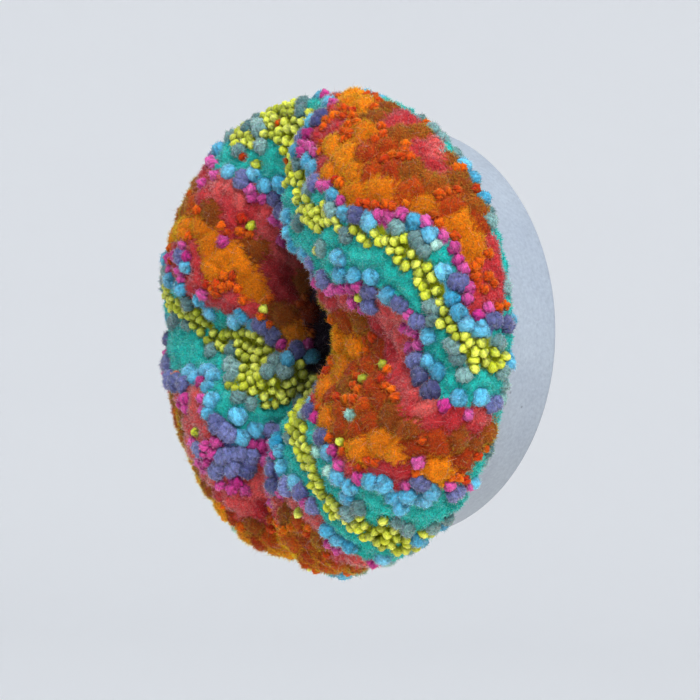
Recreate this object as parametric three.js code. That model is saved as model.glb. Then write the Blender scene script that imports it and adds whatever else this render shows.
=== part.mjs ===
// Punch needle wall piece: a plump folded textile of punched wool on a shallow round drum.
// Millimetres, +Z up. The origin is the centre of the drum's back face, which lies on the wall.
// The piece stands out from the wall towards -Y, and +X is to the right as seen from the front.
import * as THREE from "three";
import { mergeVertices } from "three/addons/utils/BufferGeometryUtils.js";

// Driving dimensions of the drum
const drumRadius = 50;
const drumDepth = 20;
const drumEdgeRadius = 1.4; // the softened front and back edges

// Driving dimensions of the textile. A "reach" is a distance out from the wall.
const pieceGap = 0.3; // clear space between the drum and the textile
const textileRadius = 58.5;
const backReach = drumDepth + pieceGap;
const backRadius = 49; // the flat back, nearly as wide as the drum
const rimReach = 26; // the textile's widest line
const crownRadius = 40; // the front rounds over outside this
const crownReach = 39;
const sideLean = 0.03; // the right side stands further out than the left
const rimCreaseShare = 0.35; // how much of a crease's depth draws the rim itself in
const turns = 96; // facets round the axis

// Rings of the profile, counted from the back's centre to the front's centre
const backRings = 4;
const rearEdgeRings = 5;
const frontEdgeRings = 9;
const crownRings = 17;

// Crowns of the four lobes: centre, radius at which the crown dies out, and height.
const lobes = [
  { name: "upper right", x: 22, z: 26, radius: 33, height: 7 },
  { name: "upper left", x: -32, z: 22, radius: 26, height: 2.5 },
  { name: "lower right", x: 24, z: -27, radius: 31, height: 5.5 },
  { name: "lower left", x: -26, z: -25, radius: 24, height: 3.5 },
];

// Where the rim leaves a true circle: middle and half-spread in degrees, counted from +X
// towards +Z, and the change of radius.
const rimChanges = [
  { name: "drawn in at the lower left", angle: 212, spread: 42, change: -2.2 },
  { name: "fuller at the upper right", angle: 40, spread: 30, change: 0.6 },
];

// Creases run from the hollow out to the rim. The mouth of the hollow is the first row.
// Each is a bent line from start to end, with its depth and its width to either side.
// "left" and "right" are the sides as one goes from start to end, seen from the front.
const creases = [
  {
    name: "hollow",
    start: [4, 9],
    bend: [3.5, 0],
    end: [3, -10],
    depth: [15, 15],
    left: 7.5,
    right: 17,
  },
  {
    name: "top crease",
    start: [3, 6],
    bend: [-24, 33],
    end: [4, 60],
    depth: [15.2, 2.5],
    left: 27,
    right: 7,
  },
  {
    name: "left crease",
    start: [0, -2],
    bend: [-28, -6],
    end: [-60, -1],
    depth: [9.5, 2.2],
    left: 14,
    right: 14,
  },
  {
    name: "bottom crease",
    start: [1, -8],
    bend: [-22, -31],
    end: [-4, -60],
    depth: [12.5, 4],
    left: 6.5,
    right: 13,
  },
  {
    name: "right crease",
    start: [13, -5],
    bend: [32, 5],
    end: [59, -15],
    depth: [4.5, 1.6],
    left: 14,
    right: 12,
  },
];
const creaseSteps = 24; // straight pieces that stand for a crease's bent line
const unionPower = 5; // how sharply creases that meet are joined

// A smooth hump: 1 at the middle, 0 at one half-width and beyond
function hump(distance) {
  return distance < 1 ? 0.5 + 0.5 * Math.cos(Math.PI * distance) : 0;
}

// Each crease's line as a row of points
const creaseLines = creases.map((crease) =>
  new THREE.QuadraticBezierCurve(
    new THREE.Vector2(...crease.start),
    new THREE.Vector2(...crease.bend),
    new THREE.Vector2(...crease.end),
  ).getPoints(creaseSteps),
);

// Depth of one crease at a place on the front
function depthOfCrease(crease, line, place) {
  let least = Infinity;
  let share = 0;
  let across = 0;
  for (let i = 0; i < creaseSteps; i++) {
    const along = line[i + 1].clone().sub(line[i]);
    const reached = place.clone().sub(line[i]);
    const part = THREE.MathUtils.clamp(reached.dot(along) / along.lengthSq(), 0, 1);
    const gap = reached.distanceTo(along.clone().multiplyScalar(part));
    if (gap < least) {
      least = gap;
      share = (i + part) / creaseSteps;
      across = along.cross(reached) / along.length();
    }
  }
  const leftShare = least > 0 ? 0.5 + (0.5 * across) / least : 0.5;
  const width = THREE.MathUtils.lerp(crease.right, crease.left, leftShare);
  const depth = THREE.MathUtils.lerp(crease.depth[0], crease.depth[1], share);
  return depth * hump(least / width);
}

// Depth of all creases together, rounded where they meet
function creaseDepth(x, z) {
  const place = new THREE.Vector2(x, z);
  const sum = creases.reduce(
    (total, crease, i) =>
      total + depthOfCrease(crease, creaseLines[i], place) ** unionPower,
    0,
  );
  return sum ** (1 / unionPower);
}

function lobeHeight(x, z) {
  return lobes.reduce(
    (total, lobe) =>
      total + lobe.height * hump(Math.hypot(x - lobe.x, z - lobe.z) / lobe.radius),
    0,
  );
}

// Change of the textile's radius in the direction of a place on the front
function rimChange(x, z) {
  const angle = THREE.MathUtils.radToDeg(Math.atan2(z, x));
  return rimChanges.reduce((total, row) => {
    const turn = THREE.MathUtils.euclideanModulo(angle - row.angle + 180, 360) - 180;
    return total + row.change * hump(Math.abs(turn) / row.spread);
  }, 0);
}

// Drum: a turned disc with softened edges, its back face on the wall
function makeDrum() {
  const flat = drumRadius - drumEdgeRadius;
  const profile = new THREE.Path();
  profile.moveTo(0, 0);
  profile.lineTo(flat, 0);
  profile.absarc(flat, drumEdgeRadius, drumEdgeRadius, -Math.PI / 2, 0);
  profile.lineTo(drumRadius, drumDepth - drumEdgeRadius);
  profile.absarc(flat, drumDepth - drumEdgeRadius, drumEdgeRadius, 0, Math.PI / 2);
  profile.lineTo(0, drumDepth);
  return new THREE.LatheGeometry(profile.getPoints(2), turns);
}

// Plain profile of the textile as radius and reach, from the back's centre to the front's
function textileProfile() {
  const points = [];
  for (let i = 0; i < backRings; i++) {
    points.push(new THREE.Vector2((backRadius * i) / backRings, backReach));
  }
  for (let i = 0; i < rearEdgeRings; i++) {
    const angle = (Math.PI / 2) * (1 - i / rearEdgeRings);
    points.push(
      new THREE.Vector2(
        backRadius + (textileRadius - backRadius) * Math.cos(angle),
        rimReach - (rimReach - backReach) * Math.sin(angle),
      ),
    );
  }
  for (let i = 0; i < frontEdgeRings; i++) {
    const angle = (Math.PI / 2) * (i / frontEdgeRings);
    points.push(
      new THREE.Vector2(
        crownRadius + (textileRadius - crownRadius) * Math.cos(angle),
        rimReach + (crownReach - rimReach) * Math.sin(angle),
      ),
    );
  }
  for (let i = 0; i <= crownRings; i++) {
    points.push(new THREE.Vector2(crownRadius * (1 - i / crownRings), crownReach));
  }
  return points;
}

// Textile: the plain turned form, then its lobes raised and its creases drawn in
function makeTextile() {
  const turned = new THREE.LatheGeometry(textileProfile(), turns);
  turned.normalizeNormals();
  const normals = turned.getAttribute("normal").clone();
  const places = turned.getAttribute("position");
  for (let i = 0; i < places.count; i++) {
    const x = places.getX(i);
    const z = -places.getZ(i); // the lathe's frame is turned over afterwards
    const reach = places.getY(i);
    if (reach <= backReach) continue;
    const facing = Math.max(normals.getY(i), 0);
    const outness = THREE.MathUtils.smoothstep(Math.hypot(x, z), backRadius / 2, textileRadius);
    const spread = 1 + (rimChange(x, z) * outness) / textileRadius;
    const leanShare = THREE.MathUtils.smoothstep(reach, backReach, crownReach);
    const drawIn = creaseDepth(x, z);
    const sideways = drawIn * THREE.MathUtils.lerp(rimCreaseShare, 1, facing);
    places.setXYZ(
      i,
      x * spread - sideways * normals.getX(i),
      reach + facing * (lobeHeight(x, z) - drawIn) + leanShare * sideLean * x,
      -z * spread - sideways * normals.getZ(i),
    );
  }
  turned.deleteAttribute("normal");
  turned.deleteAttribute("uv");
  return mergeVertices(turned, 1e-3);
}

// Turns a lathe's own axis to point out from the wall, and names the piece
function addTurned(parent, name, geometry, look) {
  geometry.rotateX(Math.PI);
  const mesh = new THREE.Mesh(geometry, new THREE.MeshStandardMaterial(look));
  mesh.name = name;
  parent.add(mesh);
}

const wallPiece = new THREE.Group();
addTurned(wallPiece, "drum", makeDrum(), {
  color: 0xaeb6bf,
  roughness: 0.7,
  metalness: 0,
});
addTurned(wallPiece, "textile", makeTextile(), {
  color: 0xc4623c,
  roughness: 0.95,
  metalness: 0,
});

export default wallPiece;
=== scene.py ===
# Punch needle wall piece: a plump folded textile of looped and cut wool on a painted wooden drum.
# The frame is in metres, +Z up, the wall at y = 0, and the piece faces -Y. Sizes here are in millimetres.
# A "reach" is a distance out from the wall. A "salt" picks one noise out of many, as a seed does.
import math
import bmesh
import bpy
import numpy as np
from mathutils import Matrix, Vector, kdtree, noise


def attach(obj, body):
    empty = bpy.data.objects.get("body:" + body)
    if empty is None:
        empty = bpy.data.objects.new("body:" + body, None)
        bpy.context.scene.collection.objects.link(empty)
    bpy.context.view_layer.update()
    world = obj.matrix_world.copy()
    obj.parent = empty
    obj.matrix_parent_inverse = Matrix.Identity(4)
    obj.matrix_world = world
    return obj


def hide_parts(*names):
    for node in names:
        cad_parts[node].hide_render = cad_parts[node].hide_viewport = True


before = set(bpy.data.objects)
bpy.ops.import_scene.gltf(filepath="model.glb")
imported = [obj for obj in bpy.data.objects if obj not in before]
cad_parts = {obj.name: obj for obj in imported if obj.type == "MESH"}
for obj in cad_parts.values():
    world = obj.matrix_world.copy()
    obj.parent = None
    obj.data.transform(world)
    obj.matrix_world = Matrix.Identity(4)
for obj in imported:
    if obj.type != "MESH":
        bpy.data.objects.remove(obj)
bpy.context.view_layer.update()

MM = 0.001
rng = np.random.default_rng(41)

# The drum that the textile stands on
DRUM_RADIUS = 50.0
DRUM_DEPTH = 20.0
DRUM_EDGE = 1.4  # radius of its softened edges
DRUM_STEPS = 160
DRUM_EDGE_STEPS = 4
DRUM_SIDE_STEPS = 5

# The textile's ground
TEXTILE_RADIUS = 58.5
CROWN_REACH = 39.0
GROUND_DEPTH = 1.3  # the ground lies this far inside the form, and the pile reaches back out to it
PAD_HEIGHT = 1.9  # a smooth pad of cut pile stands up this much in its middle
PAD_EDGE = (-0.4, 3.4)  # it starts to rise this far in from its edge, and is full this far in
TUFT_HEIGHT = 1.1  # the same of a single tuft
TUFT_EDGE = (-0.3, 1.5)
TUFT_UNEVEN = 0.25
GROUND_WAVES = [(2.6, 0.3, 5.5), (1.3, 0.16, 8.8)]  # grain, height and salt
RELIEF_START = 0.6  # the ground is smooth up to this far in front of the drum
RELIEF_FULL = 3.5
REAR_RELIEF = 0.6  # share of the relief on the textile's back beside the drum
REAR_BAND = 4.0  # and how far out from the drum it is full

# The ground's flat map runs from the front's middle at its centre to the back's middle at its edge
MAP_STRETCH = 0.9  # how much a step down towards the wall counts on it
MAP_RIM = 14.0  # width of the rim on it
MAP_TURN = (24.0, 27.0)  # reaches between which it goes over from the front to the back
MAP_RADIUS = 135.0

# Where stitches and fibres go
STITCH_TRIES = 110000  # random places tried for a stitch
GAP_UNEVEN = (0.9, 1.1)
LOOP_CLEAR = 1.2  # loops stay this far clear of the drum's edge
FIBRE_CLEAR = 0.4
FACE_CLEAR = 1.5  # what stands this far in front of the drum's face is clear of it too
EDGE_WANDER = 0.5  # how far the edges of the patches stray
EDGE_GRAIN = 2.5
FEATHER = 0.55  # how far fibres of one patch mix into the next
FAR = 10.0  # a place with no other patch near it counts as this far from one

# How the colour of the wool varies from stitch to stitch and from fibre to fibre
TUFT_TONE = 0.8
PLAIN_TONE = 0.45
BLEND_SHARE = 0.4
BLEND_BY_TONE = 0.2
VALUE_BY_TONE = 0.11
VALUE_SHARE = 0.6  # how much a fibre's lightness varies beside its blend
FIBRE_TINT = 0.22  # how far the colours of single fibres differ

# Yarns. "colour" is the wool as it shows in daylight and "blend" what is carded into it, both in sRGB.
# "make" is cut for sheared pile, or the kind of loop. "gap" is the distance from stitch to stitch.
YARNS = {
    "orange": {"colour": (0.76, 0.35, 0.0), "blend": (0.89, 0.52, 0.03), "make": "cut", "gap": 4.8},
    "brown": {"colour": (0.48, 0.19, 0.03), "blend": (0.64, 0.31, 0.05), "make": "cut", "gap": 4.6},
    "rust": {"colour": (0.54, 0.12, 0.02), "blend": (0.72, 0.27, 0.02), "make": "cut", "gap": 4.2},
    "ember": {"colour": (0.60, 0.09, 0.02), "blend": (0.78, 0.32, 0.0), "make": "knot", "gap": 1.9},
    "coral": {"colour": (0.74, 0.19, 0.22), "blend": (0.86, 0.39, 0.36), "make": "cut", "gap": 3.4},
    "crimson": {"colour": (0.63, 0.10, 0.13), "blend": (0.78, 0.24, 0.25), "make": "cut", "gap": 3.4},
    "pink": {"colour": (0.61, 0.11, 0.41), "blend": (0.76, 0.31, 0.58), "make": "knot", "gap": 2.3},
    "violet": {"colour": (0.20, 0.21, 0.39), "blend": (0.39, 0.42, 0.62), "make": "strand", "gap": 3.3},
    "sky": {"colour": (0.10, 0.48, 0.62), "blend": (0.34, 0.66, 0.78), "make": "ball", "gap": 3.3},
    "teal": {"colour": (0.0, 0.61, 0.57), "blend": (0.22, 0.78, 0.74), "make": "cut", "gap": 3.2},
    "slate": {"colour": (0.26, 0.41, 0.42), "blend": (0.46, 0.61, 0.60), "make": "strand", "gap": 2.8},
    "lime": {"colour": (0.51, 0.55, 0.0), "blend": (0.74, 0.77, 0.06), "make": "bead", "gap": 2.0},
    # dark wool of the hollow's lining, partly its own colour and partly painted shadow
    "dark_wool_and_shadow": {"colour": (0.13, 0.10, 0.15), "blend": (0.25, 0.17, 0.26), "make": "cut", "gap": 3.0},
    "mint": {"colour": (0.47, 0.71, 0.65), "blend": (0.70, 0.85, 0.79), "make": "ball", "gap": 2.4},
}
TUFTED_YARNS = {"orange", "brown", "rust"}  # their cut pile stands in separate tufts

# The drifts of colour that cross the face, in order, each with its width
DRIFTS = [
    ("orange", 6.8), ("rust", 3.0), ("ember", 0.9), ("brown", 3.2), ("crimson", 1.6), ("coral", 3.4),
    ("pink", 1.4), ("violet", 1.7), ("sky", 3.2), ("teal", 4.4), ("slate", 1.8), ("lime", 7.2),
    ("slate", 1.6), ("teal", 2.7), ("sky", 2.6), ("violet", 1.3), ("pink", 1.2), ("crimson", 2.8),
    ("ember", 1.1),
]
DRIFT_LEAN = (0.55, -0.12, 0.83)  # the way in which one drift follows another
DRIFT_BENDS = [(30.0, 13.0), (13.0, 7.5), (6.0, 2.2)]  # grain of the bends and how far they reach
DRIFT_STRAY = 0.6
STRAY_YARNS = ["ember", "pink", "mint", "lime", "sky"]
STRAY_SHARE = 0.012

# Dark wool lines the hollow in the middle of the face, partly its own colour and partly painted shadow,
# and above it the wool is darkened towards the hollow's floor by painted shade
HOLLOW_REACH = 26.3  # the lining lies nearer to the wall than this
HOLLOW_RADIUS = 24.0
HOLLOW_GRAIN = 6.0
HOLLOW_WANDER = 1.6
HOLLOW_STRAY = 0.5
PAINTED_SHADE_DEPTH = 0.8
PAINTED_SHADE_BELOW = 1.0  # the painted shade is deepest this far below the edge of the lining
PAINTED_SHADE_ABOVE = 9.0  # and ends this far above it
PAINTED_SHADE_EDGE = 10.0

# The border row behind the rim, seen only from the side
BORDER_REACH = 25.6  # it lies nearer to the wall than this
BORDER_GRAIN = 7.0
BORDER_WANDER = 1.2
BORDER_YARNS = ["teal", "slate", "teal", "sky", "teal"]
BORDER_PATCH = 9.0  # grain of its patches
BORDER_STRETCH = 1.8

# The makes of loop: the plies that their yarn has and the loop's own shape, one unit being a millimetre
# for a stitch as wide as LOOP_WIDTHS. "broaden" stretches it across.
LOOP_SHAPES = {
    "bead": {
        "plies": 2, "ply_radius": 0.72, "ply_offset": 0.16, "twist": 0.30, "steps": 5, "sides": 6,
        "half_width": 0.24, "height": 0.86, "broaden": 1.1,
    },
    "ball": {
        "plies": 2, "ply_radius": 1.07, "ply_offset": 0.23, "twist": 0.22, "steps": 5, "sides": 6,
        "half_width": 0.42, "height": 0.85, "broaden": 1.1,
    },
    "strand": {
        "plies": 3, "ply_radius": 0.89, "ply_offset": 0.43, "twist": 0.14, "steps": 4, "sides": 5,
        "half_width": 0.50, "height": 0.92, "broaden": 1.2,
    },
    "knot": {
        "plies": 3, "ply_radius": 0.62, "ply_offset": 0.40, "twist": 0.50, "steps": 4, "sides": 5,
        "half_width": 0.40, "height": 0.85, "broaden": 1.1,
    },
}
LOOP_LOOKS = {
    "bead": {"roughness": 0.48, "sheen": 0.06, "mottle": 0.2, "bump": 0.35, "gloss": 0.35},
    "ball": {"roughness": 0.95, "sheen": 0.06, "mottle": 0.22, "bump": 0.35},
    "strand": {"roughness": 0.95, "sheen": 0.06, "mottle": 0.25, "bump": 0.45},
    "knot": {"roughness": 0.9, "sheen": 0.06, "mottle": 0.28, "bump": 0.5},
}
LOOP_WIDTHS = {"bead": 1.95, "ball": 2.75, "strand": 2.7, "knot": 2.15}
LOOP_SIZES = (1.12, 1.36)  # loops are this much larger than their stitch, and press on each other
LOOP_UNEVEN = (0.92, 1.12)
LOOP_LEAN = 0.2
LOOP_SPAN = 0.94  # share of a half circle that a loop's yarn runs round
LOOP_WARP = 0.3  # how far loops of one make differ in shape
WARP_GRAIN = 1.5
TURN_GRAIN = 16.0  # neighbouring loops run the same way, more or less
TURN_REACH = 2.5 * math.pi
TURN_STRAY = 0.5
# how far inside the form a loop is rooted, and how much lower than elsewhere the ground is under it
LOOP_ROOTS = {"bead": 1.7, "ball": 2.0, "strand": 2.0, "knot": 1.7}
LOOP_SINKS = {"bead": 0.25, "ball": -0.4, "strand": -0.45, "knot": -0.3}
# how thick the fuzz stands on each make, and how much the blend varies from loop to loop
LOOP_FUZZ = {"bead": 0.3, "ball": 1.2, "strand": 1.7, "knot": 0.9}
LOOP_BLENDS = {"bead": 0.34, "ball": 0.24, "strand": 0.26, "knot": 0.28}
LOOP_BLEND_SHARE = 0.42
LOOP_VALUE = 0.10
# a loop's painted shade at its foot and what its crown has more, and how pale the painted highlight on the
# top of its crown can be
LOOP_PAINTED_SHADES = {"bead": (0.72, 0.26), "ball": (0.92, 0.1), "strand": (0.94, 0.08), "knot": (0.9, 0.12)}
LOOP_HIGHLIGHTS = {"bead": 0.7, "ball": 0.2, "strand": 0.1, "knot": 0.1}
LIFT_BAND = (-0.1, 0.95)  # shares of its height between which a loop goes over from foot to crown
HIGHLIGHT_POWER = 4
HIGHLIGHT_PALER = 0.4  # a painted highlight's colour is the blend raised to this power
# painted shade: how dark the ground is under the pile and between the loops, by make
GROUND_PAINTED_SHADE = {"cut": 0.8, "bead": 0.68, "ball": 0.9, "strand": 0.9, "knot": 0.82}

# Fibres: how many, how far they lean, their length and width, and how much their colours vary
PILE_PARTS = ["pile_one", "pile_two", "pile_three"]
PILE = {"count": 30000, "lean": 0.6, "length": (0.5, 1.05), "width": (0.10, 0.17), "blend": 0.38}
PILE_PAINTED_SHADE = (0.62, 0.5)  # painted shade of a fibre at its root, and what the tip has more
PILE_TRIES = 3.2  # places tried for each fibre of the cut pile
FUZZ_PARTS = ["fuzz_one", "fuzz_two"]
FUZZ = {"count": 40000, "lean": 1.5, "length": (0.5, 1.2), "width": (0.09, 0.14), "least_lean": 0.4}
# painted shade of a fuzz fibre at its root, and what the tip has more
FUZZ_PAINTED_SHADE = (0.85, 0.3)
FUZZ_TINT_AND_SHEEN = (0.14, 0.42)  # middle and spread of how much lighter than its loop a fibre is, partly its own colour and partly painted sheen
FUZZ_BAND = (0.2, 0.7)  # lifts between which the fuzz thickens
HAIRS = {"count": 4500, "lean": 2.6, "length": (1.6, 3.6), "width": (0.7, 1.1), "blend": 0.35}
HAIR_LEAST_LEAN = 0.8
HAIR_CURL = 40.0  # a hair is about this many widths long, so its bend is in widths too
HAIR_GREY = 0.25  # share of grey in a hair's colour
HAIR_PALE = 0.04


def linear(colour):
    """An sRGB colour as linear light"""
    return tuple(c / 12.92 if c <= 0.04045 else ((c + 0.055) / 1.055) ** 2.4 for c in colour)


def smooth_step(low, high, values):
    share = np.clip((values - low) / (high - low), 0, 1)
    return share * share * (3 - 2 * share)


def wander(places, grain, salt):
    """A smooth random number from -1 to 1 at each place. The grain is in millimetres."""
    return np.array([noise.noise(Vector(p)) for p in places / (grain * MM) + salt])


def unit(vectors):
    return vectors / np.maximum(np.linalg.norm(vectors, axis=1, keepdims=True), 1e-12)


def off_axis(places):
    """How far each place lies from the drum's axis, in millimetres"""
    return np.hypot(places[:, 0], places[:, 2]) / MM


def reach_of(places):
    return -places[:, 1] / MM


# The camera
def direction(azimuth, elevation):
    """From the origin towards a camera or light at these angles in degrees. Azimuth 0 is in front."""
    a, e = math.radians(azimuth), math.radians(elevation)
    return Vector((math.sin(a) * math.cos(e), -math.cos(a) * math.cos(e), math.sin(e)))


def add_camera():
    azimuth, elevation, roll = 44.9, 2.35, math.radians(2.09)
    target = Vector((-18.1, 0, -5.5)) * MM
    distance = 686 * MM
    back = direction(azimuth, elevation)
    turn = math.radians(azimuth)
    level = Vector((math.cos(turn), math.sin(turn), 0))
    right = level * math.cos(roll) + back.cross(level) * math.sin(roll)
    data = bpy.data.cameras.new("camera")
    data.lens = 140.9
    data.sensor_width = 36
    data.clip_start = 0.05
    data.clip_end = 60
    camera = bpy.data.objects.new("camera", data)
    bpy.context.scene.collection.objects.link(camera)
    turned = Matrix((right, back.cross(right), back)).transposed().to_4x4()
    camera.matrix_world = Matrix.Translation(target + back * distance) @ turned
    bpy.context.scene.camera = camera


add_camera()


# Materials
def new_material(name, roughness, sheen, gloss=0.1):
    material = bpy.data.materials.new(name)
    material.use_nodes = True
    shader = material.node_tree.nodes["Principled BSDF"]
    shader.inputs["Roughness"].default_value = roughness
    shader.inputs["Sheen Weight"].default_value = sheen
    shader.inputs["Sheen Roughness"].default_value = 0.5
    shader.inputs["Specular IOR Level"].default_value = gloss
    return material, shader


def let_light_in(shader, share):
    """Light enters the wool and comes out a little way off"""
    shader.inputs["Subsurface Weight"].default_value = share
    shader.inputs["Subsurface Radius"].default_value = (1.0, 0.8, 0.7)
    shader.inputs["Subsurface Scale"].default_value = 1.4 * MM


def add_node(material, kind, values=None, **settings):
    node = material.node_tree.nodes.new(kind)
    for key, value in settings.items():
        setattr(node, key, value)
    for key, value in (values or {}).items():
        node.inputs[key].default_value = value
    return node


def join(material, start, end):
    material.node_tree.links.new(start, end)


def noise_on(material, vector, size, detail=2.0, rough=0.6):
    """Noise whose grain is size millimetres on Object coordinates"""
    values = {"Scale": 1 / (size * MM), "Detail": detail, "Roughness": rough}
    node = add_node(material, "ShaderNodeTexNoise", values)
    join(material, vector, node.inputs["Vector"])
    return node.outputs["Fac"]


def ranged(material, fac, low, high, to_low, to_high):
    values = {"From Min": low, "From Max": high, "To Min": to_low, "To Max": to_high}
    node = add_node(material, "ShaderNodeMapRange", values)
    join(material, fac, node.inputs["Value"])
    return node.outputs["Result"]


def toned(material, fac, low, high, low_at=0.0, high_at=1.0):
    """A colour between two sRGB colours"""
    tone = add_node(material, "ShaderNodeValToRGB")
    ends = tone.color_ramp.elements
    ends[0].position, ends[1].position = low_at, high_at
    ends[0].color, ends[1].color = (*linear(low), 1), (*linear(high), 1)
    join(material, fac, tone.inputs["Fac"])
    return tone.outputs["Color"]


def scaled_colour(material, colour, factor):
    node = add_node(material, "ShaderNodeVectorMath", operation="SCALE")
    join(material, colour, node.inputs[0])
    join(material, factor, node.inputs["Scale"])
    return node.outputs["Vector"]


def add_bump(material, height, shader, strength, distance):
    node = add_node(material, "ShaderNodeBump", {"Strength": strength, "Distance": distance * MM})
    join(material, height, node.inputs["Height"])
    join(material, node.outputs["Normal"], shader.inputs["Normal"])


def wool_material(
    name, roughness=0.9, sheen=0.05, gloss=0.1, mottle=0.35, grain=0.45, bump=0.5, strands=False
):
    """Dyed wool in the colour of the piece's own attribute, which carries painted shade and highlights too,
    mottled by the strands and fibres in it
    """
    material, shader = new_material(name, roughness, sheen, gloss)
    let_light_in(shader, 0.65)
    coords = add_node(material, "ShaderNodeTexCoord")
    dye_and_painted_shading = add_node(material, "ShaderNodeAttribute", attribute_name="dye_and_painted_shading")
    fine = noise_on(material, coords.outputs["Object"], grain, detail=3.0)
    shade = ranged(material, fine, 0.3, 0.7, 1 - mottle, 1 + mottle)
    colour = scaled_colour(material, dye_and_painted_shading.outputs["Color"], shade)
    height = fine
    if strands:
        along = add_node(material, "ShaderNodeUVMap", uv_map="yarn")
        stretch = add_node(material, "ShaderNodeMapping", {"Scale": (4.0, 26.0, 1.0)})
        join(material, along.outputs["UV"], stretch.inputs["Vector"])
        lines = add_node(material, "ShaderNodeTexNoise", {"Scale": 1.0, "Detail": 2.0})
        join(material, stretch.outputs["Vector"], lines.inputs["Vector"])
        strand_shade = ranged(material, lines.outputs["Fac"], 0.40, 0.60, 0.78, 1.2)
        colour = scaled_colour(material, colour, strand_shade)
        mix = add_node(material, "ShaderNodeMath", operation="ADD")
        join(material, fine, mix.inputs[0])
        join(material, lines.outputs["Fac"], mix.inputs[1])
        height = mix.outputs["Value"]
    join(material, colour, shader.inputs["Base Color"])
    add_bump(material, height, shader, bump, 0.45)
    return material


def painted_wood_material():
    """Grey-blue paint with a low gloss: faint mottling, rolled texture and a few dark specks"""
    material, shader = new_material("grey blue paint", 0.6, 0, gloss=0.2)
    place = add_node(material, "ShaderNodeTexCoord").outputs["Object"]
    cloud = noise_on(material, place, 18, detail=4.0)
    tone = toned(material, cloud, (0.53, 0.565, 0.61), (0.56, 0.595, 0.635), low_at=0.32, high_at=0.68)
    specks = add_node(material, "ShaderNodeTexVoronoi", {"Scale": 1 / (5.5 * MM), "Randomness": 1.0})
    join(material, place, specks.inputs["Vector"])
    dust = ranged(material, specks.outputs["Distance"], 0.04, 0.08, 0.6, 1.0)
    roller = noise_on(material, place, 0.9, detail=4.0)
    grain = ranged(material, roller, 0.3, 0.7, 0.89, 1.11)
    colour = scaled_colour(material, scaled_colour(material, tone, dust), grain)
    join(material, colour, shader.inputs["Base Color"])
    join(material, ranged(material, roller, 0.3, 0.7, 0.52, 0.68), shader.inputs["Roughness"])
    add_bump(material, roller, shader, 0.5, 0.22)
    return material


# Meshes
def add_piece(name, mesh, material):
    piece = bpy.data.objects.new(name, mesh)
    bpy.context.scene.collection.objects.link(piece)
    mesh.materials.clear()
    mesh.materials.append(material)
    mesh.shade_smooth()
    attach(piece, "root")
    return piece


def numbers(items, name, width, kind=np.float64):
    found = np.empty(len(items) * width, kind)
    items.foreach_get(name, found)
    return found.reshape(-1, width) if width > 1 else found


def put_dye_and_painted_shading(mesh, colours):
    """Stores the wool's colour at each vertex, with its painted shade and highlights"""
    layer = mesh.color_attributes.new("dye_and_painted_shading", "FLOAT_COLOR", "POINT")
    full = np.ones((len(colours), 4), np.float32)
    full[:, :3] = colours
    layer.data.foreach_set("color", full.ravel())


def put_map(mesh, name, places):
    layer = mesh.uv_layers.new(name=name)
    layer.uv.foreach_set("vector", places.astype(np.float32).ravel())


def put_in_order(shape):
    """Sorts a shape's vertices and faces by place, because some operators leave them in any order"""
    across = Vector((1.0, 17.3, 291.7))
    shape.verts.sort(key=lambda vert: vert.co.dot(across))
    shape.faces.sort(key=lambda face: face.calc_center_median().dot(across))


def turned_mesh(name, profile, axis, steps, merge):
    """A closed turned shape from the points of its profile"""
    shape = bmesh.new()
    verts = [shape.verts.new(point) for point in profile]
    edges = [shape.edges.new(pair) for pair in zip(verts, verts[1:])]
    bmesh.ops.spin(
        shape,
        geom=verts + edges,
        cent=(0, 0, 0),
        axis=axis,
        angle=2 * math.pi,
        steps=steps,
        use_merge=True,
    )
    bmesh.ops.remove_doubles(shape, verts=shape.verts, dist=merge)
    bmesh.ops.recalc_face_normals(shape, faces=shape.faces)
    put_in_order(shape)
    mesh = bpy.data.meshes.new(name)
    shape.to_mesh(mesh)
    shape.free()
    return mesh


# The textile's own form, smoothed
def smooth_form():
    form = bmesh.new()
    form.from_mesh(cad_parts["textile"].data)
    bmesh.ops.remove_doubles(form, verts=form.verts, dist=0.01 * MM)
    bmesh.ops.join_triangles(
        form, faces=form.faces, angle_face_threshold=math.pi, angle_shape_threshold=math.pi
    )
    bmesh.ops.recalc_face_normals(form, faces=form.faces)
    coarse = bpy.data.meshes.new("coarse form")
    form.to_mesh(coarse)
    form.free()
    holder = bpy.data.objects.new("coarse form", coarse)
    bpy.context.scene.collection.objects.link(holder)
    rounding = holder.modifiers.new("rounding", "SUBSURF")
    rounding.levels = rounding.render_levels = 2
    bpy.context.view_layer.update()
    graph = bpy.context.evaluated_depsgraph_get()
    mesh = bpy.data.meshes.new_from_object(holder.evaluated_get(graph))
    bpy.data.objects.remove(holder)
    return mesh


class Surface:
    """A mesh as triangles from which random places are drawn"""

    def __init__(self, mesh):
        mesh.calc_loop_triangles()
        self.corners = numbers(mesh.loop_triangles, "vertices", 3, np.int32)
        self.points = numbers(mesh.vertices, "co", 3)
        self.normals = numbers(mesh.vertices, "normal", 3)
        a, b, c = (self.points[self.corners[:, i]] for i in range(3))
        self.areas = np.linalg.norm(np.cross(b - a, c - a), axis=1) / 2

    def draw(self, count, weights=None):
        """Random places, their normals and the first vertex of each one's triangle"""
        total = np.cumsum(self.areas if weights is None else self.areas * weights)
        chosen = np.searchsorted(total, rng.random(count) * total[-1])
        chosen = np.minimum(chosen, len(total) - 1)
        first = np.sqrt(rng.random(count))
        second = rng.random(count)
        shares = np.stack([1 - first, first * (1 - second), first * second], axis=1)
        corners = self.corners[chosen]
        places = np.einsum("nk,nkd->nd", shares, self.points[corners])
        normals = unit(np.einsum("nk,nkd->nd", shares, self.normals[corners]))
        return places, normals, corners[:, 0]


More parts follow.
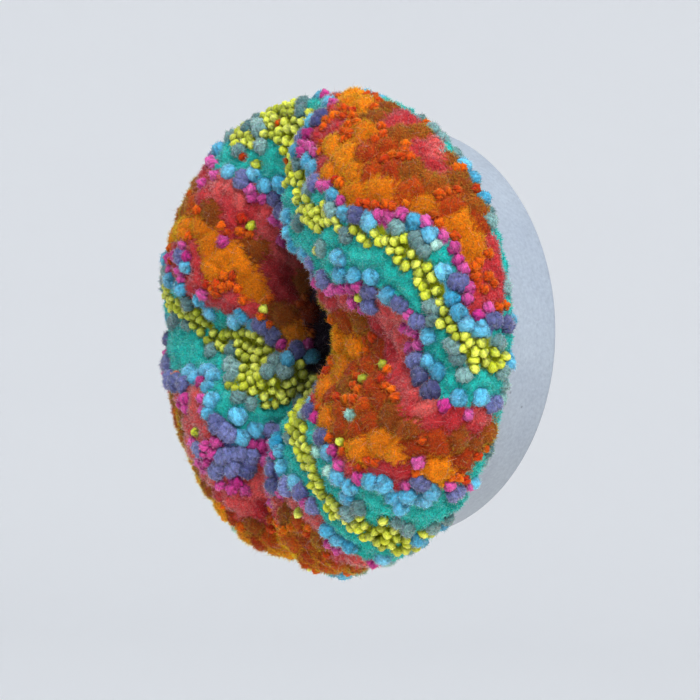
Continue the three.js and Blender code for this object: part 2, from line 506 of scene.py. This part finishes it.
# Stitches
YARN_NAMES = list(YARNS)
MAKES = np.array([row["make"] for row in YARNS.values()])
IS_CUT = MAKES == "cut"
IS_TUFTED = np.array([name in TUFTED_YARNS for name in YARN_NAMES])
GAPS = np.array([row["gap"] for row in YARNS.values()])
COLOURS = np.array([linear(row["colour"]) for row in YARNS.values()])
BLENDS = np.array([linear(row["blend"]) for row in YARNS.values()])


def throw_darts(places, gaps):
    """Picks places in turn, each at least half its own gap and half the other's from earlier picks"""
    cell = gaps.max() * MM
    taken = {}
    picked = []
    around = [(i, j, k) for i in (-1, 0, 1) for j in (-1, 0, 1) for k in (-1, 0, 1)]
    cells = np.floor(places / cell).astype(int).tolist()
    rows = np.column_stack([places, gaps * MM / 2]).tolist()
    for index, (x, y, z, half) in enumerate(rows):
        i, j, k = cells[index]
        near = (row for di, dj, dk in around for row in taken.get((i + di, j + dj, k + dk), ()))
        if all(
            (x - px) ** 2 + (y - py) ** 2 + (z - pz) ** 2 >= (half + other) ** 2
            for px, py, pz, other in near
        ):
            taken.setdefault((i, j, k), []).append(rows[index])
            picked.append(index)
    return np.array(picked)


def yarn_numbers(names):
    return np.array([YARN_NAMES.index(name) for name in names])


def yarn_at(places):
    """The yarn punched at each place"""
    along = places @ np.array(DRIFT_LEAN) / MM
    for salt, (grain, reach) in enumerate(DRIFT_BENDS):
        along = along + reach * wander(places, grain, 3.7 * salt + 1.3)
    along = along + rng.normal(0, DRIFT_STRAY, len(places))
    ends = np.cumsum([width for _, width in DRIFTS])
    rows = np.minimum(np.searchsorted(ends, along % ends[-1], side="right"), len(DRIFTS) - 1)
    yarns = yarn_numbers([name for name, _ in DRIFTS])[rows]
    strays = yarn_numbers(STRAY_YARNS)[rng.integers(0, len(STRAY_YARNS), len(places))]
    yarns = np.where(rng.random(len(places)) < STRAY_SHARE, strays, yarns)
    outer = off_axis(places)
    reach = reach_of(places) + HOLLOW_WANDER * wander(places, HOLLOW_GRAIN, salt=7.1)
    reach = reach + rng.normal(0, HOLLOW_STRAY, len(places))
    # where the hollow is deep, a lining of dark wool: partly its own colour and partly painted shadow
    deep = (reach < HOLLOW_REACH) & (outer < HOLLOW_RADIUS)
    yarns = np.where(deep, YARN_NAMES.index("dark_wool_and_shadow"), yarns)
    border = reach_of(places) + BORDER_WANDER * wander(places, BORDER_GRAIN, salt=2.2) < BORDER_REACH
    border &= outer > HOLLOW_RADIUS
    patch = 0.5 + 0.5 * wander(places, BORDER_PATCH, salt=6.6) * BORDER_STRETCH
    patch = np.clip((patch * len(BORDER_YARNS)).astype(int), 0, len(BORDER_YARNS) - 1)
    return np.where(border, yarn_numbers(BORDER_YARNS)[patch], yarns)


def painted_hollow_shade(places):
    """Painted shade: the wool is darker towards the floor of the hollow, where shade falls"""
    deep = 1 - smooth_step(HOLLOW_REACH - PAINTED_SHADE_BELOW, HOLLOW_REACH + PAINTED_SHADE_ABOVE, reach_of(places))
    return 1 - PAINTED_SHADE_DEPTH * deep * (
        1 - smooth_step(HOLLOW_RADIUS, HOLLOW_RADIUS + PAINTED_SHADE_EDGE, off_axis(places))
    )


def shows(places, clear):
    """Which places lie this far clear of the drum's edge, so that the drum doesn't hide them"""
    return (reach_of(places) > DRUM_DEPTH + FACE_CLEAR) | (off_axis(places) > DRUM_RADIUS + clear)


class Stitches:
    """The punched stitches, each a loop or a tuft of cut pile.
    A place belongs to the stitch whose edge is nearest."""

    NEAR = 7
    HOLD = 0.3  # a loop keeps this much of the ground outside its own edge, and cut pile takes the rest

    def __init__(self, places, normals):
        yarns = yarn_at(places)
        gaps = GAPS[yarns] * rng.uniform(*GAP_UNEVEN, len(places))
        picked = throw_darts(places, gaps)
        self.places = places[picked]
        self.normals = normals[picked]
        self.yarns = yarns[picked]
        self.tone = rng.normal(0, 1, (len(picked), 2))
        self.tone *= np.where(IS_TUFTED[self.yarns], TUFT_TONE, PLAIN_TONE)[:, None]
        self.hollow_painted_shade = painted_hollow_shade(self.places)
        self.radii = (gaps[picked] / 2 * MM).tolist()
        self.tree = kdtree.KDTree(len(picked))
        for index, place in enumerate(self.places):
            self.tree.insert(Vector(place), index)
        self.tree.balance()

    def at(self, places, feather=0.0):
        """The stitch of each place, and how far it lies from the edge of the patch in millimetres.
        Neighbouring wools mix over about a feather's width."""
        stray = np.stack([wander(places, EDGE_GRAIN, salt) for salt in (11.1, 23.3, 37.7)], axis=1)
        moved = places + (stray * EDGE_WANDER + rng.normal(0, feather, places.shape)) * MM
        owner = np.empty(len(places), int)
        edge = np.empty(len(places))
        for index, place in enumerate(moved):
            near = self.tree.find_n(Vector(place), self.NEAR)
            found = sorted((distance - self.radii[other], other) for _, other, distance in near)
            if found[0][0] > self.HOLD * MM and not IS_CUT[self.yarns[found[0][1]]]:
                found.sort(key=lambda row: not IS_CUT[self.yarns[row[1]]])
            least, first = found[0]
            own = self.yarns[first]
            gap = FAR * MM
            for distance, other in found[1:]:
                if IS_TUFTED[own] or self.yarns[other] != own:
                    gap = max(distance - least, 0.0)
                    break
            owner[index] = first
            edge[index] = gap / 2 / MM
        return owner, edge


def tinted(colours):
    """Each fibre a little off the colour of its yarn"""
    return colours * np.exp(rng.normal(0, FIBRE_TINT, colours.shape))


def dye_with_painted_hollow_shade(stitches, owner, spread):
    """The wool's colour at each place: its stitch's yarn, a little lighter or darker from tuft to tuft, and
    painted shade by the hollow
    """
    yarns = stitches.yarns[owner]
    mix = BLEND_SHARE + BLEND_BY_TONE * stitches.tone[owner, 0] + rng.normal(0, spread, len(owner))
    mix = np.clip(mix, 0, 1)[:, None]
    value = VALUE_BY_TONE * stitches.tone[owner, 1] + rng.normal(0, spread * VALUE_SHARE, len(owner))
    value = np.exp(value) * stitches.hollow_painted_shade[owner]
    return (COLOURS[yarns] * (1 - mix) + BLENDS[yarns] * mix) * value[:, None]


# The ground: the form with its tufts and patches raised
def make_ground():
    mesh = smooth_form()
    form = numbers(mesh.vertices, "co", 3)
    normals = numbers(mesh.vertices, "normal", 3)
    places, place_normals, _ = Surface(mesh).draw(STITCH_TRIES)
    seen = shows(places, LOOP_CLEAR)
    stitches = Stitches(places[seen], place_normals[seen])
    owner, edge = stitches.at(form)
    yarns = stitches.yarns[owner]
    tuft = TUFT_HEIGHT * smooth_step(*TUFT_EDGE, edge) * np.exp(TUFT_UNEVEN * stitches.tone[owner, 1])
    raised = np.where(IS_TUFTED[yarns], tuft, PAD_HEIGHT * smooth_step(*PAD_EDGE, edge))
    sink = np.array([LOOP_SINKS.get(make, 0) for make in MAKES])[yarns]
    height = np.where(IS_CUT[yarns], raised, -sink) - GROUND_DEPTH
    height += sum(rise * wander(form, grain, salt) for grain, rise, salt in GROUND_WAVES)
    relief = smooth_step(DRUM_DEPTH + RELIEF_START, DRUM_DEPTH + RELIEF_FULL, reach_of(form))
    beside = smooth_step(DRUM_RADIUS, DRUM_RADIUS + REAR_BAND, off_axis(form)) * REAR_RELIEF
    relief = np.maximum(relief, beside)
    mesh.vertices.foreach_set("co", (form + normals * (height * relief * MM)[:, None]).ravel())
    mesh.update()
    # painted shade where the ground lies down among the pile and the loops
    shade = np.array([GROUND_PAINTED_SHADE[make] for make in MAKES])[yarns]
    mixed, _ = stitches.at(form, FEATHER)
    mixed = np.where(IS_CUT[yarns] & IS_CUT[stitches.yarns[mixed]], mixed, owner)
    put_dye_and_painted_shading(mesh, dye_with_painted_hollow_shade(stitches, mixed, 0.05) * shade[:, None])
    put_map(mesh, "OFBake", polar_map(mesh, form))
    material = wool_material("wool ground", mottle=0.4, grain=0.35)
    ground = add_piece("textile_ground", mesh, material)
    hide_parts("textile")
    return ground, stitches


def polar_map(mesh, form):
    """A flat map of the ground: the front's middle at the centre, the back's middle at the edge"""
    corner = numbers(mesh.loops, "vertex_index", 1, np.int32)
    outer = off_axis(form)
    reach = reach_of(form)
    front = outer + np.maximum(CROWN_REACH - reach, 0) * MAP_STRETCH
    back = TEXTILE_RADIUS + MAP_RIM + (TEXTILE_RADIUS - outer)
    turn = smooth_step(*MAP_TURN, reach)
    spread = (front * turn + back * (1 - turn)) / MAP_RADIUS
    angle = np.arctan2(form[:, 2], form[:, 0])
    flat = 0.5 + 0.5 * np.stack([spread * np.cos(angle), spread * np.sin(angle)], axis=1)
    return np.clip(flat, 0, 1)[corner]


# Small shapes that are planted many times
class Pattern:
    """One small closed shape as arrays, ready to be copied"""

    def __init__(self, shape):
        bmesh.ops.recalc_face_normals(shape, faces=shape.faces)
        put_in_order(shape)
        mesh = bpy.data.meshes.new("pattern")
        shape.to_mesh(mesh)
        shape.free()
        self.points = numbers(mesh.vertices, "co", 3)
        self.corners = numbers(mesh.loops, "vertex_index", 1, np.int32)
        self.starts = numbers(mesh.polygons, "loop_start", 1, np.int32)
        self.totals = numbers(mesh.polygons, "loop_total", 1, np.int32)
        self.flat = numbers(mesh.uv_layers[0].uv, "vector", 2)
        bpy.data.meshes.remove(mesh)


def warped(points):
    """Points of many copies moved a little, so that no two copies are alike"""
    flat = points.reshape(-1, 3)
    stray = np.stack([wander(flat, WARP_GRAIN, salt) for salt in (3.1, 5.9, 8.3)], axis=1)
    return flat + LOOP_WARP * MM * stray


def planted_mesh(name, pattern, roots, frames, colours, shade, warp=False):
    """One joined mesh with a copy of the pattern at each root. A copy's axes are the columns of its frame.
    The colours are by copy and by vertex, or the same for all of a copy's vertices, and are scaled by
    painted shade by vertex."""
    count, size = len(roots), len(pattern.points)
    points = np.einsum("nij,vj->nvi", frames, pattern.points) + roots[:, None]
    if warp:
        points = warped(points)
    corners = (pattern.corners[None] + (np.arange(count) * size)[:, None]).ravel()
    starts = (pattern.starts[None] + (np.arange(count) * len(pattern.corners))[:, None]).ravel()
    mesh = bpy.data.meshes.new(name)
    mesh.vertices.add(count * size)
    mesh.loops.add(len(corners))
    mesh.polygons.add(len(starts))
    mesh.vertices.foreach_set("co", points.ravel())
    mesh.loops.foreach_set("vertex_index", corners.astype(np.int32))
    mesh.polygons.foreach_set("loop_start", starts.astype(np.int32))
    mesh.polygons.foreach_set("loop_total", np.tile(pattern.totals, count))
    mesh.update(calc_edges=True)
    mesh.validate()
    put_dye_and_painted_shading(mesh, np.broadcast_to(colours * shade, (count, size, 3)).reshape(-1, 3))
    # each copy has a square cell of its own on the flat map
    across = math.ceil(math.sqrt(count))
    cells = np.stack([np.arange(count) % across, np.arange(count) // across], axis=1)
    tile = pattern.flat[None] * 0.84 + 0.08
    put_map(mesh, "yarn", np.tile(pattern.flat, (count, 1)))
    put_map(mesh, "OFBake", ((cells[:, None] + tile) / across).reshape(-1, 2))
    return mesh


def frames_on(normals, lean, lengths, widths, side=None, depths=None):
    """Axes for planted shapes: third along the leaning normal, first and second across it"""
    count = len(normals)
    flat = unit(np.cross(normals, unit(rng.normal(size=(count, 3)))))
    axis = unit(normals + flat * lean[:, None])
    if side is None:
        side = unit(np.cross(axis, unit(rng.normal(size=(count, 3)))))
    side = unit(side - axis * (side * axis).sum(1)[:, None])
    other = np.cross(axis, side)
    depths = widths if depths is None else depths
    columns = [side * widths[:, None], other * depths[:, None], axis * lengths[:, None]]
    return np.stack(columns, axis=2)


def ply_centre(ply, plies, ply_offset):
    """The middle of a ply where the yarn starts"""
    begin = 2 * math.pi * ply / plies
    return Vector((0, math.cos(begin), math.sin(begin))) * ply_offset


def straight_yarn(plies, ply_radius, ply_offset, twist, steps, sides):
    """Plies twisted round each other along the X axis, one unit long"""
    shape = bmesh.new()
    shape.loops.layers.uv.new("yarn")
    for ply in range(plies):
        start = Matrix.Translation(ply_centre(ply, plies, ply_offset)) @ Matrix.Rotation(math.pi / 2, 4, "Y")
        made = bmesh.ops.create_circle(
            shape, cap_ends=True, segments=sides, radius=ply_radius, matrix=start
        )
        ring = made["verts"]
        spun = bmesh.ops.spin(
            shape,
            geom=ring + list(ring[0].link_faces[0].edges),
            cent=(0, 0, 0),
            axis=(1, 0, 0),
            dvec=(1 / steps, 0, 0),
            angle=2 * math.pi * twist,
            steps=steps,
        )
        last = [e for e in spun["geom_last"] if isinstance(e, bmesh.types.BMEdge)]
        bmesh.ops.contextual_create(shape, geom=last)
    bmesh.ops.remove_doubles(shape, verts=shape.verts, dist=1e-5)
    return shape


def map_yarn(shape, plies, ply_offset, twist):
    """Each corner's place on the yarn: along it, and round it in its own ply's band"""
    flat = shape.loops.layers.uv.active
    seam = 1.2  # turns round the ply that its band has room for, past where it closes
    for face in shape.faces:
        untwisted = []
        for corner in face.loops:
            place = corner.vert.co
            untwisted.append(Matrix.Rotation(-2 * math.pi * twist * place.x, 3, "X") @ place)
        bands = [round(math.atan2(p.z, p.y) / (2 * math.pi) * plies) % plies for p in untwisted]
        band = max(set(bands), key=bands.count)
        offsets = [place - ply_centre(band, plies, ply_offset) for place in untwisted]
        angles = [(math.atan2(o.z, o.y) / (2 * math.pi)) % 1.0 for o in offsets]
        if max(angles) - min(angles) > 0.5:
            angles = [a + 1 if a < 0.5 else a for a in angles]
        for corner, angle in zip(face.loops, angles):
            corner[flat].uv = (corner.vert.co.x, (band + min(angle, seam) / seam) / plies)


def yarn_loop(plies, ply_radius, ply_offset, twist, steps, sides, half_width, height, broaden):
    """A loop of plied yarn standing on its two ends, made straight and then bent over"""
    shape = straight_yarn(plies, ply_radius, ply_offset, twist, steps, sides)
    map_yarn(shape, plies, ply_offset, twist)
    for vert in shape.verts:
        angle = math.pi * (0.5 + LOOP_SPAN * (vert.co.x - 0.5))
        lift = Vector((-math.cos(angle), 0, math.sin(angle)))
        centre = Vector((-math.cos(angle) * half_width, 0, math.sin(angle) * height))
        vert.co = centre + lift * vert.co.z + Vector((0, vert.co.y * broaden, 0))
    return Pattern(shape)


def map_spike(shape):
    """Each corner's place on the yarn map: round the spike and along it, with its foot set aslant"""
    flat = shape.loops.layers.uv.active
    for face in shape.faces:
        for corner in face.loops:
            place = corner.vert.co
            angle = math.atan2(place.y, place.x) / (2 * math.pi) + 0.5
            corner[flat].uv = (angle, place.z * 0.9 + place.y * 0.1 + 0.05)


def pile_fibre():
    """A short straight fibre: a thin three-sided spike, one unit wide and one long"""
    shape = bmesh.new()
    shape.loops.layers.uv.new("yarn")
    bmesh.ops.create_cone(
        shape, cap_ends=True, cap_tris=False, segments=3, radius1=0.5, radius2=0.0, depth=1.0
    )
    bmesh.ops.translate(shape, verts=shape.verts, vec=(0, 0, 0.5))
    bmesh.ops.remove_doubles(shape, verts=shape.verts, dist=1e-4)
    map_spike(shape)
    return Pattern(shape)


def curled_hair():
    """A long fine hair that bends over: three-sided, one unit wide at its root and one long"""
    shape = bmesh.new()
    shape.loops.layers.uv.new("yarn")
    ring = bmesh.ops.create_circle(shape, cap_ends=True, segments=3, radius=0.5)["verts"]
    edges = list(ring[0].link_faces[0].edges)
    for rise, side, size in ((0.5, 0.12, 0.8), (0.38, 0.34, 0.02)):
        made = bmesh.ops.extrude_edge_only(shape, edges=edges)["geom"]
        ring = [v for v in made if isinstance(v, bmesh.types.BMVert)]
        edges = [e for e in made if isinstance(e, bmesh.types.BMEdge) and all(v in ring for v in e.verts)]
        middle = sum((v.co for v in ring), Vector()) / len(ring)
        bmesh.ops.scale(shape, verts=ring, vec=(size, size, 1), space=Matrix.Translation(-middle))
        bmesh.ops.translate(shape, verts=ring, vec=(side * HAIR_CURL, 0, rise))
    bmesh.ops.pointmerge(shape, verts=ring, merge_co=sum((v.co for v in ring), Vector()) / len(ring))
    map_spike(shape)
    return Pattern(shape)


# What is planted on the ground
def plant_loops(stitches, make):
    """The loops of one make, each on its stitch. Returns the piece and how high each vertex stands."""
    pattern = yarn_loop(**LOOP_SHAPES[make])
    chosen = MAKES[stitches.yarns] == make
    places, normals, yarns = stitches.places[chosen], stitches.normals[chosen], stitches.yarns[chosen]
    some = len(places)
    roots = places - normals * LOOP_ROOTS[make] * MM
    turn = TURN_REACH * wander(places, TURN_GRAIN, salt=4.4) + rng.normal(0, TURN_STRAY, some)
    across = unit(np.cross(normals, np.array((0.0, 1.0, 0.02))))
    upward = np.cross(normals, across)
    scale = GAPS[yarns] / LOOP_WIDTHS[make] * rng.uniform(*LOOP_SIZES, some) * MM
    frames = frames_on(
        normals,
        np.abs(rng.normal(0, LOOP_LEAN, some)),
        scale * rng.uniform(*LOOP_UNEVEN, some),
        scale * rng.uniform(*LOOP_UNEVEN, some),
        side=across * np.cos(turn)[:, None] + upward * np.sin(turn)[:, None],
        depths=scale * rng.uniform(*LOOP_UNEVEN, some),
    )
    mix = np.clip(rng.normal(LOOP_BLEND_SHARE, LOOP_BLENDS[make], some), 0, 1)[:, None]
    colours = COLOURS[yarns] * (1 - mix) + BLENDS[yarns] * mix
    # the loops are darkened towards the hollow's floor by painted shade
    value = np.exp(rng.normal(0, LOOP_VALUE, some)) * stitches.hollow_painted_shade[chosen]
    colours = colours * value[:, None]
    lift = smooth_step(*LIFT_BAND, pattern.points[:, 2] / pattern.points[:, 2].max())
    # painted highlight: the top of some loops' crowns is paler
    painted_highlight = LOOP_HIGHLIGHTS[make] * rng.random(some)[:, None, None] * lift[:, None] ** HIGHLIGHT_POWER
    colours = colours[:, None] * (1 - painted_highlight) + (BLENDS[yarns] ** HIGHLIGHT_PALER)[:, None] * painted_highlight
    # painted shade: each loop is darker towards its foot, where shade falls between the loops
    low, high = LOOP_PAINTED_SHADES[make]
    shade = (low + high * lift)[:, None]
    name = "loops_" + make
    mesh = planted_mesh(name, pattern, roots, frames, colours, shade, warp=True)
    material = wool_material("yarn of " + name, strands=True, **LOOP_LOOKS[make])
    return add_piece(name, mesh, material), np.tile(lift, some)


def plant_fibres(name, pattern, places, frames, colours, shade):
    mesh = planted_mesh(name, pattern, places, frames, colours[:, None], shade)
    return add_piece(name, mesh, FIBRE_MATERIAL)


def plant_pile(surface, stitches, name):
    """Fibres of the cut pile"""
    places, normals, _ = surface.draw(int(PILE["count"] * PILE_TRIES))
    seen = shows(places, FIBRE_CLEAR)
    places, normals = places[seen], normals[seen]
    owner, _ = stitches.at(places, FEATHER)
    cut = np.flatnonzero(IS_CUT[stitches.yarns[owner]])[:PILE["count"]]
    frames = frames_on(
        normals[cut],
        np.abs(rng.normal(0, PILE["lean"], len(cut))),
        rng.uniform(*PILE["length"], len(cut)) * MM,
        rng.uniform(*PILE["width"], len(cut)) * MM,
    )
    pattern = pile_fibre()
    colours = tinted(dye_with_painted_hollow_shade(stitches, owner[cut], PILE["blend"]))
    # painted shade: each fibre is darker towards its root, deep in the pile
    shade = PILE_PAINTED_SHADE[0] + PILE_PAINTED_SHADE[1] * pattern.points[:, 2:]
    plant_fibres(name, pattern, places[cut], frames, colours, shade)


def plant_fuzz(loops, name):
    """Short fibres that stand off the crowns of the loops"""
    surfaces = [Surface(piece.data) for piece, _ in loops]
    dyes_and_painted_shading = [numbers(piece.data.color_attributes["dye_and_painted_shading"].data, "color", 4)[:, :3] for piece, _ in loops]
    weights = [
        LOOP_FUZZ[make] * smooth_step(*FUZZ_BAND, lift[surface.corners].mean(axis=1))
        for make, surface, (_, lift) in zip(LOOP_SHAPES, surfaces, loops)
    ]
    areas = [(surface.areas * weight).sum() for surface, weight in zip(surfaces, weights)]
    parts = []
    for surface, dye_and_painted_shading, weight, area in zip(surfaces, dyes_and_painted_shading, weights, areas):
        places, normals, vertex = surface.draw(int(FUZZ["count"] * area / sum(areas)), weight)
        parts.append((places, normals, dye_and_painted_shading[vertex]))
    places, normals, colours = (np.concatenate(part) for part in zip(*parts))
    some = len(places)
    frames = frames_on(
        normals,
        FUZZ["least_lean"] + np.abs(rng.normal(0, FUZZ["lean"], some)),
        rng.uniform(*FUZZ["length"], some) * MM,
        rng.uniform(*FUZZ["width"], some) * MM,
    )
    pattern = pile_fibre()
    # the fuzz is lighter than its loop: partly its own colour and partly painted sheen
    tint_and_sheen = np.exp(rng.normal(*FUZZ_TINT_AND_SHEEN, some))[:, None]
    # painted shade: each fibre is darker towards its root
    shade = FUZZ_PAINTED_SHADE[0] + FUZZ_PAINTED_SHADE[1] * pattern.points[:, 2:]
    plant_fibres(name, pattern, places, frames, tinted(colours) * tint_and_sheen, shade)


def plant_hairs(surface, stitches):
    """Long fine hairs that have worked loose and lie over the pile"""
    places, normals, _ = surface.draw(HAIRS["count"])
    seen = shows(places, FIBRE_CLEAR)
    places, normals = places[seen], normals[seen]
    owner, _ = stitches.at(places)
    some = len(places)
    lengths = rng.uniform(*HAIRS["length"], some) * MM
    widths = lengths / HAIR_CURL * rng.uniform(*HAIRS["width"], some)
    lean = HAIR_LEAST_LEAN + np.abs(rng.normal(0, HAIRS["lean"], some))
    frames = frames_on(normals, lean, lengths, widths)
    colours = dye_with_painted_hollow_shade(stitches, owner, HAIRS["blend"])
    colours = colours * (1 - HAIR_GREY) + HAIR_GREY * colours.mean(axis=1, keepdims=True) + HAIR_PALE
    plant_fibres("loose_hairs", curled_hair(), places, frames, colours, 1.0)


FIBRE_MATERIAL = wool_material("pile fibre", 0.95, 0.06, mottle=0.22, bump=0.0)


# The drum, turned with softened edges
def make_drum():
    flat = DRUM_RADIUS - DRUM_EDGE
    corner = [math.pi / 2 * step / DRUM_EDGE_STEPS for step in range(1, DRUM_EDGE_STEPS + 1)]
    side = (DRUM_DEPTH - 2 * DRUM_EDGE) / DRUM_SIDE_STEPS
    profile = [(0, 0), (flat * 0.5, 0), (flat, 0)]
    profile += [(flat + DRUM_EDGE * math.sin(a), DRUM_EDGE * (1 - math.cos(a))) for a in corner]
    profile += [(DRUM_RADIUS, DRUM_EDGE + side * step) for step in range(1, DRUM_SIDE_STEPS + 1)]
    profile += [
        (flat + DRUM_EDGE * math.cos(a), DRUM_DEPTH - DRUM_EDGE * (1 - math.sin(a))) for a in corner
    ]
    profile += [(flat * 0.5, DRUM_DEPTH), (0, DRUM_DEPTH)]
    points = [(radius * MM, -reach * MM, 0) for radius, reach in profile]
    mesh = turned_mesh("drum_turned", points, (0, 1, 0), DRUM_STEPS, 0.001 * MM)
    drum = add_piece("drum_turned", mesh, painted_wood_material())
    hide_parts("drum")


# Floor, world and lights, in metres
def make_stage():
    """A round pale floor whose edge bends up into a low wall"""
    radius, bend, wall, depth, steps = 3.2, 1.0, 3.0, -0.55, 8
    points = [(0, 0, depth), (radius * 0.5, 0, depth), (radius, 0, depth)]
    for step in range(1, steps + 1):
        angle = math.pi / 2 * step / steps
        points.append((radius + bend * math.sin(angle), 0, depth + bend * (1 - math.cos(angle))))
    points.append((radius + bend, 0, depth + wall))
    mesh = turned_mesh("floor", points, (0, 0, 1), 64, 1e-4)
    mesh.shade_smooth()
    floor = bpy.data.objects.new("floor", mesh)
    bpy.context.scene.collection.objects.link(floor)
    material, shader = new_material("pale floor", 0.9, 0)
    coords = add_node(material, "ShaderNodeTexCoord")
    cloud = noise_on(material, coords.outputs["Object"], 900, detail=2.0)
    colour = toned(material, cloud, (0.94, 0.945, 0.955), (0.955, 0.96, 0.965))
    join(material, colour, shader.inputs["Base Color"])
    mesh.materials.append(material)


def area_light(name, azimuth, elevation, distance, size, power, colour):
    back = direction(azimuth, elevation)
    data = bpy.data.lights.new(name, "AREA")
    data.shape = "SQUARE"
    data.size = size
    data.energy = power
    data.color = colour
    light = bpy.data.objects.new(name, data)
    bpy.context.scene.collection.objects.link(light)
    light.location = back * distance
    light.rotation_mode = "QUATERNION"
    light.rotation_quaternion = back.to_track_quat("Z", "Y")


def add_lights():
    world = bpy.data.worlds.new("studio")
    world.use_nodes = True
    background = world.node_tree.nodes["Background"]
    background.inputs["Color"].default_value = (0.94, 0.965, 1.0, 1)
    background.inputs["Strength"].default_value = 0.8
    bpy.context.scene.world = world
    area_light("key", 62, 40, distance=1.5, size=0.8, power=31, colour=(0.97, 0.98, 1.0))
    area_light("fill", -35, -5, distance=1.6, size=1.2, power=4, colour=(1.0, 0.93, 0.85))
    area_light("low", 75, -66, distance=0.55, size=0.2, power=0.8, colour=(1.0, 0.74, 0.42))


ground, stitches = make_ground()
ground_surface = Surface(ground.data)
loops = [plant_loops(stitches, make) for make in LOOP_SHAPES]
for part in PILE_PARTS:
    plant_pile(ground_surface, stitches, part)
for part in FUZZ_PARTS:
    plant_fuzz(loops, part)
plant_hairs(ground_surface, stitches)
make_drum()
make_stage()
add_lights()
bpy.context.scene.view_settings.view_transform = "Standard"
